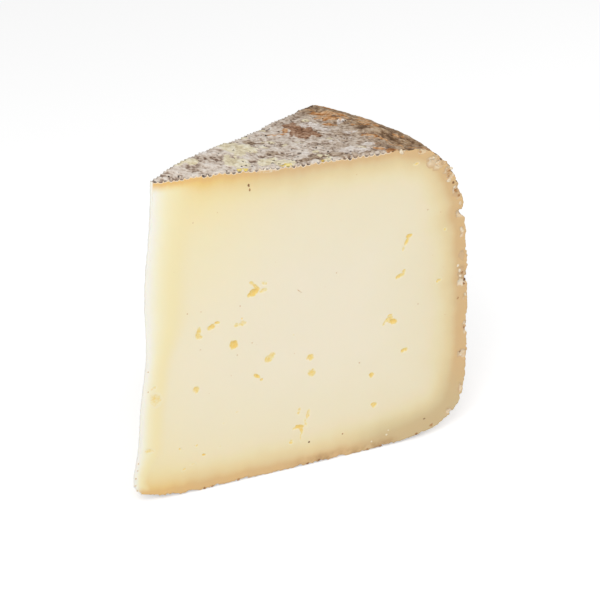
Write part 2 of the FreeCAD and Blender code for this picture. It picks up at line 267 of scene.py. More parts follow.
# Patches of each kind on the upper face: x, y, half length, half width, turn in degrees, strength
PATCHES = {
    "dusk": [
        (80.5, 27, 3.8, 3, 20, 0.9), (48.3, 19.7, 2.6, 2, -20, 0.7),
        (50.5, 10, 3.4, 2.4, -28, 0.65), (30.5, 8.8, 4.6, 1.9, -5, 0.45),
        (68.6, 10.6, 6, 2.4, -25, 0.5), (58, 2.6, 2.4, 1.4, 0, 0.8),
        (76.9, 17.5, 3.5, 2.6, -20, 0.7), (62, 3.6, 3.6, 1.8, 10, 1), (68.4, 3, 3.4, 2.2, -10, 1.2),
        (75.5, 2.2, 4.4, 1.8, 0, 1.3), (83, 6, 3.6, 2.2, -30, 1.2),
    ],
    "white": [
        (70.8, 27.4, 3, 2.6, -20, 1.1), (73, 23.2, 2.8, 1.4, -40, 0.9),
        (80.7, 27, 1.7, 1.1, 40, 0.9), (73.5, 4.6, 5, 2.4, -10, 0.8),
        (29.8, 14.5, 3.4, 2.6, -20, 0.8), (57.8, 9.9, 1.1, 0.8, 20, 1.1),
        (59.6, 6.6, 1.2, 1, -24, 1), (78, 14.7, 0.9, 0.5, 30, 1.1), (70.8, 13, 0.8, 0.5, 30, 1.1),
        (79.7, 18.5, 2.3, 0.9, -25, 0.8), (80.2, 7.2, 2.6, 1.5, -24, 0.8),
    ],
    "cream": [
        (20.6, 8.8, 3.2, 2.6, 20, 1.5), (25.6, 7.5, 2, 1.6, 20, 1.2),
        (40.2, 17.6, 3.8, 3.2, 30, 1.3), (44.6, 14.6, 3.8, 3, -20, 1.2),
        (40.5, 12.2, 3, 2.4, -30, 1.1), (38.2, 5.8, 3.6, 3.6, 40, 1.3),
        (46.9, 4.2, 3, 2.2, 20, 1.4), (50, 2.8, 2.2, 1.8, 0, 1.3), (53.2, 2.2, 2, 1.5, 20, 1.1),
        (55.9, 28.1, 1, 0.7, -26, 0.9), (48.3, 23.7, 1.2, 0.9, 40, 0.9),
        (53.3, 18.2, 2.3, 0.9, -26, 0.8), (50.5, 14.2, 2.4, 0.8, -25, 0.7),
        (57.2, 14.6, 1.1, 0.9, 30, 0.9), (72, 32, 1.5, 1, -24, 0.9), (71.3, 15.2, 0.9, 0.7, 30, 1),
        (63, 7, 1.2, 0.8, 30, 1), (63, 4, 1.1, 0.9, 30, 1), (64.9, 3.6, 0.8, 0.6, 30, 1),
        (63.8, 1, 1.6, 0.9, 30, 1), (77, 5.5, 1.5, 0.6, -25, 0.8), (62.1, 15.4, 1.8, 0.5, -25, 0.6),
    ],
    "brown": [
        (66.4, 22.8, 4.4, 3.6, 60, 1.6), (65.2, 27.6, 3.2, 2.2, 50, 1.3),
        (68.6, 19.8, 2.6, 1.4, -30, 1.2),
    ],
    "orange": [
        (62.2, 25.4, 2.4, 1, 60, 0.7), (56.6, 23.3, 1.3, 0.6, -26, 1),
        (59.9, 23, 2.2, 0.4, -25, 0.7), (80.8, 34.6, 5, 2.8, -40, 1.6),
        (78.6, 30.4, 3.4, 1.3, -35, 1.2), (77.2, 26.6, 2.7, 0.9, -40, 0.9),
        (84.2, 0.9, 1.7, 1.3, 0, 1.1), (81.6, 3, 1.6, 0.7, -40, 0.9),
        (87.6, 19.9, 2.4, 0.9, -40, 0.8), (85, 23, 2.4, 0.9, -40, 0.8),
        (84.3, 13.5, 3.2, 0.9, -35, 0.7), (89.5, 4, 3.6, 1, -40, 0.8),
        (95, 2.6, 4.6, 1.4, -20, 1.4),
    ],
    "yellow": [
        (38.3, 1, 2.6, 0.8, 0, 1), (50.8, 0.7, 1.7, 0.7, 0, 0.9), (62.4, 0.8, 1.6, 0.5, 0, 0.6),
    ],
}
# The other faces have the same kinds, scattered in blotches of these sizes
SCATTERED = {"dusk": 12, "white": 13, "cream": 16, "brown": 14, "orange": 9}

# Small deep pits in the upper face: x, y, radius
PITS = [
    (54, 9.7, 0.6), (54.6, 13.2, 0.5), (49.4, 2.2, 0.5), (49.1, 5.2, 0.45), (51.7, 20, 0.45),
    (53.6, 18.1, 0.4), (55, 2.4, 0.45), (57.8, 14.1, 0.4), (36.7, 18, 0.45), (58.3, 7.8, 0.65),
    (69.8, 18, 0.5), (71.1, 3.3, 0.6), (74.3, 3.1, 0.4), (75.1, 5.2, 0.4), (62.1, 12, 0.45),
    (64.3, 9.8, 0.45), (67.7, 33.4, 0.5), (54.2, 7.2, 0.45), (55.5, 7.5, 0.45), (53.7, 4.9, 0.4),
    (72.8, 7.3, 0.4), (71.8, 1.8, 0.4), (75.3, 24.8, 0.45), (80.1, 23.9, 0.5), (64.1, 19.5, 0.4),
    (64.1, 22.2, 0.4), (68.4, 26.6, 0.4), (56.9, 5.4, 0.4), (60.6, 4.6, 0.45), (59.9, 9.4, 0.4),
]

# Hollows in the shoulder, and swellings with a depth below 0: x, y, radius, depth
HOLLOWS = [(92.0, 8.0, 8.0, 1.4), (87.0, 18.5, 7.0, -1.1), (81.5, 31.0, 6.0, -1.1)]

# The crust's wrinkles run this way on the upper face, and are this much longer than wide
WRINKLE_TURN = math.radians(-20)
WRINKLE_STRETCH = 2.2


def streaked(points):
    """The points in a frame that lies along the wrinkles and is squeezed along them."""
    cosine, sine = math.cos(WRINKLE_TURN), math.sin(WRINKLE_TURN)
    along = (points[:, 0] * cosine + points[:, 1] * sine) / WRINKLE_STRETCH
    across = points[:, 1] * cosine - points[:, 0] * sine
    return np.stack([along, across, points[:, 2]], axis=-1)


def moulds(points, run):
    """How much of each kind of mould grows at each point of the rind."""
    wobble = 0.6 * fractal(points, 2.2, 4, seed=11)
    on_top = 1 - smooth(SHOULDER_END - 4, SHOULDER_END + 6, run)
    amounts = {}
    for kind, patches in PATCHES.items():
        amounts[kind] = np.zeros(len(points))
        for *shape, strength in patches:
            far = oval(points[:, 0], points[:, 1], *shape) + wobble
            patch = strength * (1 - smooth(0.55, 1.4, far)) * on_top
            amounts[kind] = np.maximum(amounts[kind], patch)
    # the upper face grows darker and rustier towards the shoulder
    radius = np.hypot(points[:, 0], points[:, 1])
    amounts["dusk"] = np.maximum(amounts["dusk"], 0.5 * smooth(50, 74, radius))
    rust = smooth(0.18, 0.5, fractal(streaked(points), 3.2, 4, seed=17)) * smooth(76, 88, radius)
    amounts["orange"] = np.maximum(amounts["orange"], 0.9 * rust * on_top)
    for index, (kind, size) in enumerate(SCATTERED.items()):
        field = fractal(points, size, 5, seed=40 + 7 * index)
        amounts[kind] = np.maximum(amounts[kind], (1 - on_top) * smooth(0.22, 0.55, field))
    return amounts


def scallops(run, from_edge, share):
    """The cloth's pits that an edge cuts open, from 0 to 1 at their deepest."""
    count = int(OUTLINE_LENGTH / CLOTH_PITCH) + 4
    size, shift = np.random.default_rng(5).uniform(size=(2, 2 * count))
    # the pitch wavers a little along the edge
    phase = run / CLOTH_PITCH + 0.3 * np.sin(run / 7)
    # the front edge has the first half of the pits, the back edge the other
    index = np.clip(np.floor(phase).astype(int), 0, count - 1) + np.where(share > 0.5, count, 0)
    across = (2 * (phase % 1) - 1) / 0.96
    centre = 0.4 * shift[index] - 0.1
    inward = (from_edge - centre) / (CLOTH_PITCH * (0.3 + 0.16 * size[index]))
    return np.sqrt(np.clip(1 - across**2 - inward**2, 0, None)) * (0.45 + 0.45 * size[index])


def pits(points, run):
    """The crust's small holes, from 0 to 1 at their deepest."""
    scattered = 1 - smooth(0.10, 0.27, cells(points, 2.3, seed=4)[0])
    scattered *= smooth(-0.05, 0.35, fractal(points, 6.0, 2, seed=9))
    on_top = run < SHOULDER_END
    for x, y, radius in PITS:
        far = np.hypot(points[:, 0] - x, points[:, 1] - y) / radius
        scattered = np.maximum(scattered, (1 - smooth(0.55, 1.3, far)) * on_top)
    return scattered


def relief(points, run, share, amounts):
    """The rind's height above its smooth surface, its grain with painted shade in the furrows, and
    how much of a pit each point is.
    """
    width = WEDGE_ANGLE * reach_at(run)
    from_edge = np.minimum(share * width, width - share * width)
    swells = fractal(points, 20.0, seed=1)
    lumps = fractal(points, 3.6, seed=3)
    ridges = 0.5 - 1.7 * np.abs(fractal(streaked(points), 1.7, seed=2))
    fine = fractal(points, 0.9, seed=6)
    hole = pits(points, run)
    opened = scallops(run, from_edge, share)
    knots, depths = zip(*SCALLOPS)

    height = 0.40 * swells + 0.26 * lumps + 0.17 * ridges + 0.11 * fine
    for x, y, radius, depth in HOLLOWS:
        away = np.hypot(points[:, 0] - x, points[:, 1] - y) / radius
        height -= depth * (1 - smooth(0.2, 1.0, away)) * (run < SHOULDER_END)
    height += 0.14 * amounts["cream"] + 0.16 * amounts["white"] * (0.4 + fine)
    height -= 0.5 * hole + np.interp(run, knot_run(knots), depths) * opened
    # the grain follows the relief, so its dark furrows are painted shade as well as the crust's own
    # mottling
    grain = np.clip(0.5 + 0.45 * ridges + 0.55 * fine + 0.4 * lumps, 0, 1)
    return height, grain, np.maximum(hole, 0.85 * opened)


# ---- the cuts' own relief

# Where the front cut's edge crumbled away: x, z, half width, half height, depth
EDGE_CHIPS = [
    (98.9, 90.6, 3.6, 2.2, 0.8), (103.6, 86.4, 2.2, 2.4, 0.8), (105.9, 80, 1.5, 2.8, 0.7),
    (107.3, 72.6, 1.5, 1.5, 1.3), (107.8, 66.5, 0.8, 2.2, 0.4), (108.3, 59, 0.9, 2, 0.5),
    (108.6, 52, 1.5, 3.4, 0.8), (109.7, 45, 0.8, 1.6, 0.5), (110.2, 35, 1, 2, 0.6),
    (109.7, 26, 1.3, 1.8, 0.8), (109.3, 14, 0.8, 1.8, 0.5), (105.5, 7, 1.2, 1, 0.5),
    (93.6, 94.2, 2, 0.7, 0.5), (87.2, 95.2, 1.3, 0.8, 0.5),
]
# Notches in the outline of the front cut: knot of the outline, half length, depth
NOTCHES = [
    (10.5, 2, 1.1), (9.4, 1.1, 0.5), (8.9, 0.8, 0.4), (8.3, 0.9, 0.5), (11.6, 1, 0.35),
    (12.4, 1.4, 0.5), (13.9, 1.2, 0.35), (15.4, 0.9, 0.35), (16.6, 1, 0.4), (20.4, 1, 0.4),
    (20.8, 0.8, 0.3), (21.15, 1.6, 0.55), (21.4, 0.9, 0.45), (21.65, 1.3, 0.4), (21.9, 0.8, 0.35),
    (22.3, 1.6, 0.5), (22.7, 1.2, 0.35), (23.2, 1.2, 0.25),
]
# How far the crust's lip stands out of a cut along its upper edge, and how far the lip reaches down
LIP_BULGE = 0.12
LIP_WIDTH = 0.32


def chip_depth(x, z):
    """How far the crumbled edge lies behind the front cut, and the tone of its small faces."""
    points = np.stack([x, 0 * x, z], axis=-1)
    rough = 0.35 * fractal(points, 1.6, seed=30)
    _, facets = cells(points, 1.8, seed=31)
    depth = np.zeros(len(x))
    for *shape, deepest in EDGE_CHIPS:
        far = oval(x, z, *shape) + rough
        depth = np.maximum(depth, deepest * (1 - smooth(0.5, 1.1, far)))
    return depth * (0.5 + 0.55 * facets), facets * smooth(0.05, 0.25, depth)


def lip_share(x, z):
    """Where a cut's upper edge has a lip: 1 from the tip to the shoulder, 0 elsewhere."""
    return smooth(88, 94, z) * (1 - smooth(82, 86, x))


def notch_depth(run, arc):
    """How far the notches push the rind's edge in."""
    depth = np.zeros(len(run))
    for knot, half_length, deepest in NOTCHES:
        near = 1 - smooth(0.2, 1.0, np.abs(run - knot_run(knot)) / half_length)
        depth += deepest * near * np.exp(-((arc / 2.2) ** 2))
    return depth


def eye_depth(x, z, eyes, points):
    """How far the eyes push a cut's surface back, and how much of an eye each point is in."""
    ragged = 0.30 * fractal(points, 1.0, seed=50)
    depth = np.zeros(len(x))
    inside = np.zeros(len(x))
    for centre_x, centre_z, half_width, half_height, turn, deepest in eyes:
        near = np.hypot(x - centre_x, z - centre_z) < 2 * max(half_width, half_height) + 1
        far = oval(x[near], z[near], centre_x, centre_z, half_width, half_height, turn)
        far += ragged[near]
        bowl = EYE_DEPTH * deepest * np.sqrt(np.clip(1 - far**2, 0, None))
        depth[near] = np.maximum(depth[near], bowl)
        strength = min(1.0, 0.35 + 0.5 * deepest)
        inside[near] = np.maximum(inside[near], (1 - smooth(0.6, 1.8, far)) * strength)
    return depth, inside


def cut_waves(points):
    """The cuts are nearly flat: the knife left long shallow waves and a few fine drags."""
    waves = 0.16 * fractal(points, 34.0, 2, seed=60) + 0.03 * fractal(points, 5.0, seed=61)
    drags = fractal(points * np.array([1, 1, 0.06]), 1.3, 2, seed=62)
    return waves + 0.012 * drags


# ---- meshing


def nested_grid(low, high, levels, spacing_at, seed):
    """Points in a rectangle, as far apart as asked at each place: a step, two, four and so on."""
    columns, rows = (int((end - start) / STEP) + 1 for start, end in zip(low, high))
    i, j = (index.ravel() for index in np.indices((columns, rows)))
    place = np.stack([low[0] + i * STEP, low[1] + j * STEP], axis=-1)
    level = np.zeros(len(i), dtype=int)
    for power in range(1, levels):
        level += (i % 2**power == 0) & (j % 2**power == 0)
    wanted = np.floor(np.log2(np.maximum(spacing_at(place), STEP) / STEP + 1e-6)).astype(int)
    keep = level >= np.minimum(wanted, levels - 1)
    shift = np.random.default_rng(seed).uniform(-STRAY, STRAY, (keep.sum(), 2))
    return place[keep] + shift * STEP


def boundary_distance(points, loop):
    """Distance from each point to the nearest corner of a loop."""
    tree = KDTree(len(loop))
    for index, (x, y) in enumerate(loop.tolist()):
        tree.insert((x, y, 0), index)
    tree.balance()
    return np.array([tree.find((x, y, 0))[2] for x, y in points.tolist()])


def is_inside(points, loop):
    """Which points lie inside a loop."""
    inside = np.zeros(len(points), dtype=bool)
    for (x1, y1), (x2, y2) in zip(loop, np.roll(loop, -1, axis=0)):
        if y1 == y2:
            continue
        between = (points[:, 1] > min(y1, y2)) & (points[:, 1] <= max(y1, y2))
        crossing = x1 + (points[between, 1] - y1) * (x2 - x1) / (y2 - y1)
        inside[between] ^= points[between, 0] < crossing
    return inside


def triangulate(loop, interior):
    """Triangles that fill a loop and use every interior point. Corners count the loop's first."""
    corners = [Vector(p) for p in np.vstack([loop, interior]).tolist()]
    found = delaunay_2d_cdt(corners, [], [list(range(len(loop)))], 1, 1e-9)
    source = [origins[0] for origins in found[3]]
    return [[source[corner] for corner in triangle] for triangle in found[2]]


def add_object(name, data):
    """Adds an object to the scene."""
    thing = bpy.data.objects.new(name, data)
    bpy.context.collection.objects.link(thing)
    return thing


class Shell:
    """A mesh as it grows: points, faces with a material, and values at the points."""

    def __init__(self):
        self.points = []
        self.values = {}
        self.faces = []
        self.materials = []
        self.count = 0

    def add(self, points, **values):
        """Adds points and returns their numbers."""
        numbers = np.arange(self.count, self.count + len(points))
        self.points.append(points)
        self.count += len(points)
        for name, value in values.items():
            self.note(name, numbers, value)
        return numbers

    def note(self, name, numbers, value):
        """Sets a value at points that are already there."""
        self.values.setdefault(name, []).append((numbers, value))

    def fill(self, faces, numbers, material, flip=False):
        """Adds faces, whose corners are places in a list of point numbers."""
        for face in faces:
            corners = [int(numbers[corner]) for corner in face]
            self.faces.append(corners[::-1] if flip else corners)
            self.materials.append(material)

    def build(self, name, materials):
        """Makes the Blender object."""
        mesh = bpy.data.meshes.new(name)
        mesh.from_pydata(((np.vstack(self.points) + ORIGIN) * MM).tolist(), [], self.faces)
        for value_name, parts in self.values.items():
            data = np.zeros(self.count)
            for numbers, value in parts:
                data[numbers] = value
            attribute = mesh.attributes.new(value_name, "FLOAT", "POINT")
            attribute.data.foreach_set("value", data.astype(np.float32))
        for material in materials:
            mesh.materials.append(material)
        mesh.polygons.foreach_set("material_index", self.materials)
        mesh.polygons.foreach_set("use_smooth", [True] * len(mesh.polygons))
        mesh.validate()
        return add_object(name, mesh)


def tip_arc(height):
    """The tip's round edge at some heights, from the front cut to the back cut."""
    start, stop = -math.pi / 2, WEDGE_ANGLE + math.pi / 2 - 2 * math.pi
    angle = np.linspace(start, stop, TIP_COLUMNS + 1)
    out = TIP_ROUND / math.sin(WEDGE_ANGLE / 2)
    height = np.asarray(height, dtype=float)[..., None]
    x = apex(height) + out * math.cos(WEDGE_ANGLE / 2) + TIP_ROUND * np.cos(angle)
    y = out * math.sin(WEDGE_ANGLE / 2) + TIP_ROUND * np.sin(angle) + 0 * height
    return np.stack([x, y, height + 0 * angle], axis=-1)


def rind_spacing(place):
    """How far apart the rind's points lie: fine on the upper face and at the edges, wide below."""
    edge = np.minimum(place[:, 1], WEDGE_ANGLE * reach_at(place[:, 0]) - place[:, 1])
    spacing = np.where(place[:, 0] > SHOULDER_START, 2 * STEP, STEP)
    spacing = np.where(place[:, 0] > FOOT_END, 4 * STEP, spacing)
    near_edge = np.where(edge < MIDDLE_MARGIN, 2 * STEP, spacing)
    return np.where(edge < FINE_MARGIN, STEP, np.minimum(spacing, near_edge))


def unrolled_rind():
    """The rind laid flat, as (run, arc from the front cut): its outline and its inner points.

    The last result tells the outline's points apart: front edge, foot's end, back edge, top's end.
    """
    stations = np.linspace(0, OUTLINE_LENGTH, int(OUTLINE_LENGTH / STEP))
    width = WEDGE_ANGLE * reach_at(stations)
    shares = np.linspace(0, 1, TIP_COLUMNS + 1)[1:-1]
    sides = [
        np.stack([stations, 0 * stations], axis=-1),
        np.stack([0 * shares + OUTLINE_LENGTH, shares * width[-1]], axis=-1),
        np.stack([stations, width], axis=-1)[::-1],
        np.stack([0 * shares, shares * width[0]], axis=-1)[::-1],
    ]
    loop = np.vstack(sides)
    places = np.split(np.arange(len(loop)), np.cumsum([len(side) for side in sides])[:-1])

    grid = nested_grid((0, 0), (OUTLINE_LENGTH, width.max()), 3, rind_spacing, seed=7)
    run, arc = grid.T
    clear = CLEAR * STEP
    inner = (arc > clear) & (WEDGE_ANGLE * reach_at(run) - arc > clear)
    inner &= (run > clear) & (run < OUTLINE_LENGTH - clear)
    return loop, grid[inner], places


def add_rind(shell):
    """The rind, and its two long edges and two short ends, as lists of point numbers."""
    loop, inner, (front, foot_end, back, top_end) = unrolled_rind()
    run, arc = np.vstack([loop, inner]).T
    share = np.clip(arc / (WEDGE_ANGLE * reach_at(run)), 0, 1)
    points = rind_point(run, share)
    amounts = moulds(points, run)
    height, grain, hole = relief(points, run, share, amounts)
    height -= notch_depth(run, arc)
    points[foot_end] = tip_arc(section(OUTLINE_LENGTH, 0.0)[1])[1:-1]
    points[top_end] = tip_arc(section(0.0, 0.0)[1])[1:-1][::-1]
    points += rind_normal(run, share) * height[:, None]
    # the cheese stands flat on the board
    points[:, 2] = np.maximum(points[:, 2], 0.0)

    # the crumbled edge and the rind next to it lie further back
    chip, tone = chip_depth(points[:, 0], points[:, 2])
    give = np.clip(1 - arc / (4 * np.maximum(chip, 0.01)), 0, 1)
    points[:, 1] += chip * give
    # the cuts' waves carry their edges with them
    points[:, 1] += cut_waves(points) * np.exp(-arc / 1.5)

    # the side's browner crust begins on the shoulder, and the foot has it too
    radius = np.hypot(points[:, 0], points[:, 1])
    side = smooth(77.0, 90.0, radius + 2.5 * fractal(points, 7.0, seed=15))
    side = np.maximum(side, 0.8 * smooth(FOOT_START, FOOT_END, run))
    numbers = shell.add(points, grain=grain, pit=hole, side=side, chunk=tone * give, **amounts)
    shell.fill(triangulate(loop, inner), numbers, RIND)
    front_edge, back_edge = numbers[front], numbers[back][::-1]
    top = [front_edge[0], *numbers[top_end][::-1], back_edge[0]]
    foot = [front_edge[-1], *numbers[foot_end], back_edge[-1]]
    return front_edge, back_edge, top, foot


def add_tip(shell, top_end, foot_end):
    """The tip's round edge, between the two cuts. Returns its first and last columns."""
    top, foot = section(0.0, 0.0)[1], section(OUTLINE_LENGTH, 0.0)[1]
    rows = tip_arc(np.linspace(top, foot, int((top - foot) / TIP_STEP))[1:-1])
    points = rows.reshape(-1, 3)
    ragged = 0.14 * fractal(points * np.array([0, 0, 1]), 3.0, seed=70)
    points[:, 0] += ragged + 0.10 * fractal(points, 0.9, 2, seed=71)
    numbers = shell.add(points, crust=np.ones(len(points))).reshape(rows.shape[:2])
    grid = np.vstack([top_end, numbers, foot_end])
    corners = [grid[:-1, :-1], grid[:-1, 1:], grid[1:, 1:], grid[1:, :-1]]
    shell.fill(np.stack(corners, axis=-1).reshape(-1, 4), np.arange(shell.count), PASTE)
    return grid[:, 0], grid[:, -1]


# What colours the paste runs over this depth, from 0 to 1
PASTE_DEPTH = 40


def paste_values(x, z, depth, from_tip):
    """What colours the paste, by its place, its depth under the rind and how far the tip is."""
    low, high, crest = smooth(20, 4, z), smooth(40, 80, z), smooth(70, 90, z)
    # the dry rim is wider at the wheel's side and along the foot
    far = smooth(68 + 15 * crest, 96 + 4 * crest, x)
    rim = far * (2.2 + 1.4 * smooth(36, 14, z)) + 1.0 * low * (1 - far) * smooth(6, 20, x)
    near = (1 - smooth(14, 58, x)) * (0.25 + 0.75 * high)
    return {
        "crust": np.clip(depth - rim, 0, None) / PASTE_DEPTH,
        "warm": near + 0.35 * (1 - smooth(8, 24, x)) * (1 - high),
        "toast": (1 - smooth(0.6, 2.8, depth)) * low * smooth(48, 62, x) * (1 - smooth(82, 92, x)),
        "tip": from_tip / PASTE_DEPTH * (1 + 0.7 * smooth(58, 40, z) + 2.4 * smooth(16, 4, z)),
        "drab": smooth(68, 84, x) * smooth(26, 8, z) * (1 - smooth(4.0, 11.0, depth)),
        "smear": 1 - smooth(0.4, 1.3, oval(x, z, 45.5, 96.9, 3.4, 0.9)),
    }


def cut_spacing(place, loop, eyes):
    """How far apart a cut's points lie: fine along its edges and round its eyes, wide between."""
    from_edge = boundary_distance(place, loop[::3]) - CUT_MARGIN
    spacing = STEP + CUT_GROWTH * np.clip(from_edge, 0, None)
    for x, z, half_width, half_height, _, _ in eyes:
        from_eye = np.hypot(place[:, 0] - x, place[:, 1] - z) - max(half_width, half_height)
        wanted = STEP + EYE_GROWTH * np.clip(from_eye - EYE_MARGIN, 0, None)
        spacing = np.minimum(spacing, wanted)
    return spacing


def add_cut(shell, rind_edge, tip_column, eyes, angle, is_front):
    """One of the two cuts, filled in from the points on its edges."""
    loop_numbers = np.concatenate([rind_edge, tip_column[::-1][1:-1]])
    edge = np.vstack(shell.points)[loop_numbers]
    along = np.array([math.cos(angle), math.sin(angle), 0])
    outward = np.array([math.sin(angle), -math.cos(angle), 0]) * (1 if is_front else -1)
    foot = apex(edge[:, 2])
    reach = foot + (edge[:, 0] - foot) * along[0] + edge[:, 1] * along[1]
    loop = np.stack([reach, edge[:, 2]], axis=-1)
    rind_loop, tip_loop = loop[: len(rind_edge)], loop[len(rind_edge) :]

    low, high = loop.min(axis=0), loop.max(axis=0)
    grid = nested_grid(low, high, 4, lambda place: cut_spacing(place, loop, eyes), seed=9)
    grid = grid[is_inside(grid, loop)]
    grid = grid[boundary_distance(grid, loop) > CLEAR * STEP]
    x, z = grid.T
    foot = apex(z)
    points = np.stack([foot + (x - foot) * along[0], (x - foot) * along[1], z], axis=-1)
    depth, inside = eye_depth(x, z, eyes, points)
    wave = cut_waves(points)
    push = depth - wave * outward[1] if is_front else depth - wave
    chip, tone = chip_depth(x, z) if is_front else (0 * x, 0 * x)
    from_rind = boundary_distance(grid, rind_loop)
    lip = np.exp(-((from_rind / LIP_WIDTH) ** 2)) * lip_share(x, z)
    points -= outward * (push + chip - LIP_BULGE * lip)[:, None]

    values = paste_values(x, z, from_rind, boundary_distance(grid, tip_loop))
    numbers = shell.add(points, eye=inside, chunk=tone, hem=lip, **values)
    x, z = loop.T
    edge_depth, from_tip = boundary_distance(loop, rind_loop), boundary_distance(loop, tip_loop)
    values = {"hem": lip_share(x, z), **paste_values(x, z, edge_depth, from_tip)}
    for name, value in values.items():
        shell.note(name, loop_numbers, value)
    corners = np.concatenate([loop_numbers, numbers])
    shell.fill(triangulate(loop, grid), corners, PASTE, flip=not is_front)


# ---- materials


def srgb(red, green, blue):
    """A colour given as 0 to 255 display values, in the linear values that the shader takes."""
    shares = [value / 255 for value in (red, green, blue)]
    linear = [s / 12.92 if s <= 0.04045 else ((s + 0.055) / 1.055) ** 2.4 for s in shares]
    return (*linear, 1.0)


class Nodes:
    """A material's node tree, with short ways to add nodes. Inputs are values or sockets."""

    def __init__(self, name):
        self.material = bpy.data.materials.new(name)
        self.material.use_nodes = True
        self.tree = self.material.node_tree
        self.shader = self.tree.nodes["Principled BSDF"]

    def put(self, value, socket):
        """Sets a socket, or links another one to it."""
        if isinstance(value, bpy.types.NodeSocket):
            self.tree.links.new(value, socket)
        else:
            socket.default_value = value

    def new(self, kind, **inputs):
        """Adds a node. Its inputs are named with an underscore for each space."""
        node = self.tree.nodes.new("ShaderNode" + kind)
        for name, value in inputs.items():
            self.put(value, node.inputs[name.replace("_", " ")])
        return node

    def attribute(self, name):
        """A value that the mesh carries."""
        node = self.new("Attribute")
        node.attribute_name = name
        return node.outputs["Fac"]

    def place(self, size, squeeze=(1, 1, 1)):
        """Object coordinates in units of that many millimetres, squeezed along the axes."""
        place = self.new("TexCoord").outputs["Object"]
        scale = [factor / (size * MM) for factor in squeeze]
        return self.new("Mapping", Vector=place, Scale=scale).outputs["Vector"]

    def noise(self, size, detail=4.0, roughness=0.55, squeeze=(1, 1, 1)):
        """Noise with features of that size in millimetres, from 0 to 1."""
        place = self.place(size, squeeze)
        node = self.new("TexNoise", Vector=place, Scale=1.0, Detail=detail, Roughness=roughness)
        return node.outputs["Fac"]

    def uneven(self, size, detail=4.0, roughness=0.55):
        """The same noise, from -0.5 to 0.5."""
        return self.math("SUBTRACT", self.noise(size, detail, roughness), 0.5)

    def cells(self, size):
        """Distance to scattered points that lie that far apart in millimetres."""
        return self.new("TexVoronoi", Vector=self.place(size), Scale=1.0).outputs["Distance"]

    def math(self, operation, first, second):
        """Arithmetic on values."""
        node = self.new("Math")
        node.operation = operation
        self.put(first, node.inputs[0])
        self.put(second, node.inputs[1])
        return node.outputs[0]

    def times(self, first, second):
        """The product of two values."""
        return self.math("MULTIPLY", first, second)

    def plus(self, first, second):
        """The sum of two values."""
        return self.math("ADD", first, second)

    def fade(self, value, low, high, top=1.0):
        """0 where the value is low, the top value where it is high."""
        node = self.new("MapRange", Value=value, From_Min=low, From_Max=high, To_Max=top)
        node.interpolation_type = "SMOOTHSTEP"
        return node.outputs["Result"]

    def ramp(self, value, stops):
        """A colour for each value: stops are (value from 0 to 1, red, green, blue)."""
        node = self.new("ValToRGB", Fac=value)
        elements = node.color_ramp.elements
        while len(elements) < len(stops):
            elements.new(0.5)
        for element, (place, *colour) in zip(elements, stops):
            element.position = place
            element.color = srgb(*colour)
        return node.outputs["Color"]

    def mix(self, amount, first, second):
        """Blends one colour into another."""
        node = self.new("Mix")
        node.data_type = "RGBA"
        for name, value in {"Factor": amount, "A": first, "B": second}.items():
            self.put(value, node.inputs[name])
        return node.outputs["Result"]

    def paint(self, amount, under, colour):
        """Blends a plain colour, given as display values, over another."""
        return self.mix(amount, under, srgb(*colour))

    def bump(self, height, distance, strength, **before):
        """A bump from a height of 0 to 1, that deep in millimetres, over another as its Normal."""
        inputs = {"Height": height, "Distance": distance * MM, "Strength": strength, **before}
        return self.new("Bump", **inputs).outputs["Normal"]

    def surface(self, colour, normal, roughness, specular):
        """Sets what the surface looks like, and returns the material."""
        self.put(colour, self.shader.inputs["Base Color"])
        self.put(normal, self.shader.inputs["Normal"])
        self.shader.inputs["Roughness"].default_value = roughness
        self.shader.inputs["Specular IOR Level"].default_value = specular
        return self.material


# The paste's colour by its depth, as a share of PASTE_DEPTH: inside, and near the tip and the top
COOL_PASTE = [
    (0, 219, 185, 136), (0.025, 219, 187, 139), (0.0475, 224, 197, 150), (0.065, 227, 204, 158),
    (0.0875, 230, 210, 164), (0.1125, 233, 214, 169), (0.145, 235, 219, 177),
    (0.1875, 237, 224, 186), (0.25, 239, 226, 194), (0.325, 239, 228, 198), (0.6, 240, 230, 203),
    (0.85, 241, 231, 207),
]
WARM_PASTE = [
    (0, 233, 190, 118), (0.025, 234, 191, 118), (0.0475, 239, 202, 124), (0.065, 240, 208, 134),
    (0.0875, 241, 213, 148), (0.1125, 242, 218, 158), (0.145, 242, 222, 165),
    (0.1875, 243, 225, 170), (0.25, 243, 227, 176), (0.325, 244, 228, 180), (0.45, 243, 230, 188),
    (0.6, 243, 231, 192),
]
# Its colour by the distance from the tip's thin edge, as a share of PASTE_DEPTH: a painted glow of
# light through the thin tip
TIP_PASTE = [
    (0, 247, 243, 231), (0.0125, 247, 243, 230), (0.03, 247, 242, 223), (0.0475, 246, 241, 216),
    (0.0875, 246, 237, 201), (0.119, 245, 234, 193), (0.1625, 244, 231, 185), (0.22, 243, 229, 181),
    (0.29, 242, 227, 181), (0.4, 242, 227, 186),
]
# Its colour in an eye, from the shallowest up
EYE_PASTE = [(0.3, 241, 228, 180), (0.65, 240, 215, 140), (1.0, 238, 200, 98)]
# Broken bits of its dry rim, from the deepest up
CHUNK_PASTE = [
    (0.0, 206, 170, 126), (0.35, 218, 190, 150), (0.7, 230, 210, 178), (1.0, 237, 223, 199),
]
